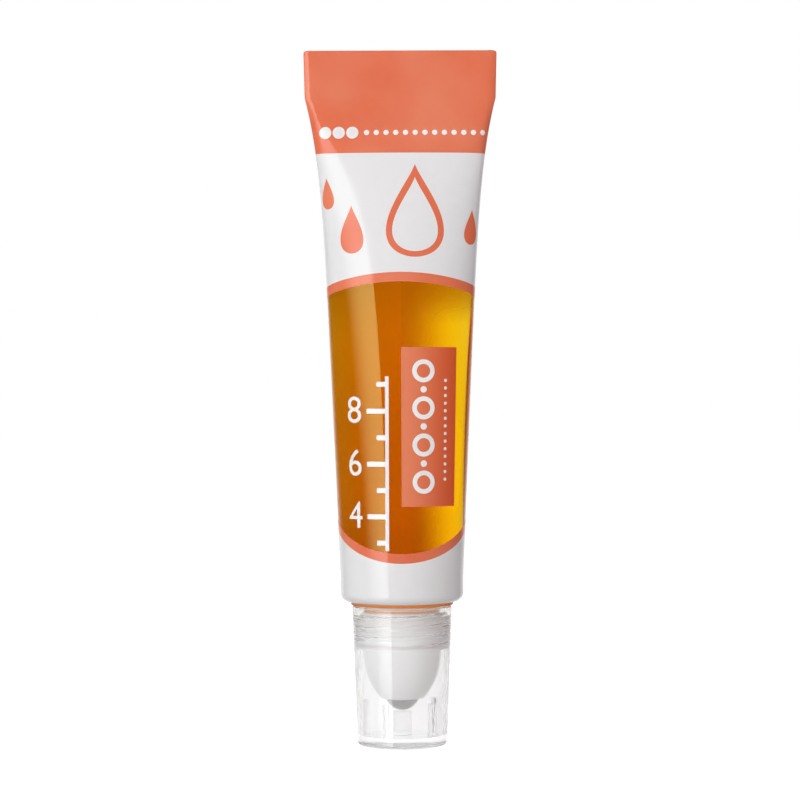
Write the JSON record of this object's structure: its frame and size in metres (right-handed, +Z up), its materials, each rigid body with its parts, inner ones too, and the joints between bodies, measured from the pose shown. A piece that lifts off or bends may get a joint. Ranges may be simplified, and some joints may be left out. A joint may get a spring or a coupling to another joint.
{
  "type": "nail oil rollerball",
  "caption": "Small crimped clear squeeze tube of nail oil standing on its clear screw cap, with a steel roller ball in a white domed housing under the cap.",
  "frame": {"origin": "middle of the cap's closed end, on which the tube stands", "axes": "+Z up along the tube towards its crimped end; X runs along the crimp; the printed front faces -Y"},
  "size_m": [0.0298, 0.019, 0.1069],
  "materials": {
    "cap_clear": "clear gloss",
    "housing_white": "satin white",
    "ball_steel": "polished",
    "head_clear": "clear gloss",
    "sleeve_printed": "gloss print on clear plastic",
    "oil_amber": "clear amber liquid"
  },
  "bodies": {
    "cap": {"cap": "cap_clear"},
    "roller_housing": {"roller_housing": "housing_white"},
    "tube": {"sleeve": "sleeve_printed", "tube_head": "head_clear", "oil": "oil_amber"},
    "roller_ball": {"roller_ball": "ball_steel"}
  },
  "joints": [
    {"name": "cap_lift", "type": "slide", "parent": "cap", "child": "roller_housing", "axis": [0, 0, 1], "range_m": [0, 0.0214]},
    {"name": "cap_turn", "type": "hinge", "parent": "roller_housing", "child": "tube", "pos_m": [0, 0, 0.0183], "axis": [0, 0, 1], "range_deg": [0, 5130]},
    {"name": "ball_roll", "type": "hinge", "parent": "roller_housing", "child": "roller_ball", "pos_m": [0, 0, 0.00805], "axis": [1, 0, 0], "continuous": true}
  ],
  "couplings": [
    {"joint": "cap_lift", "follows": "cap_turn", "m_per_rad": 0.00023873}
  ]
}
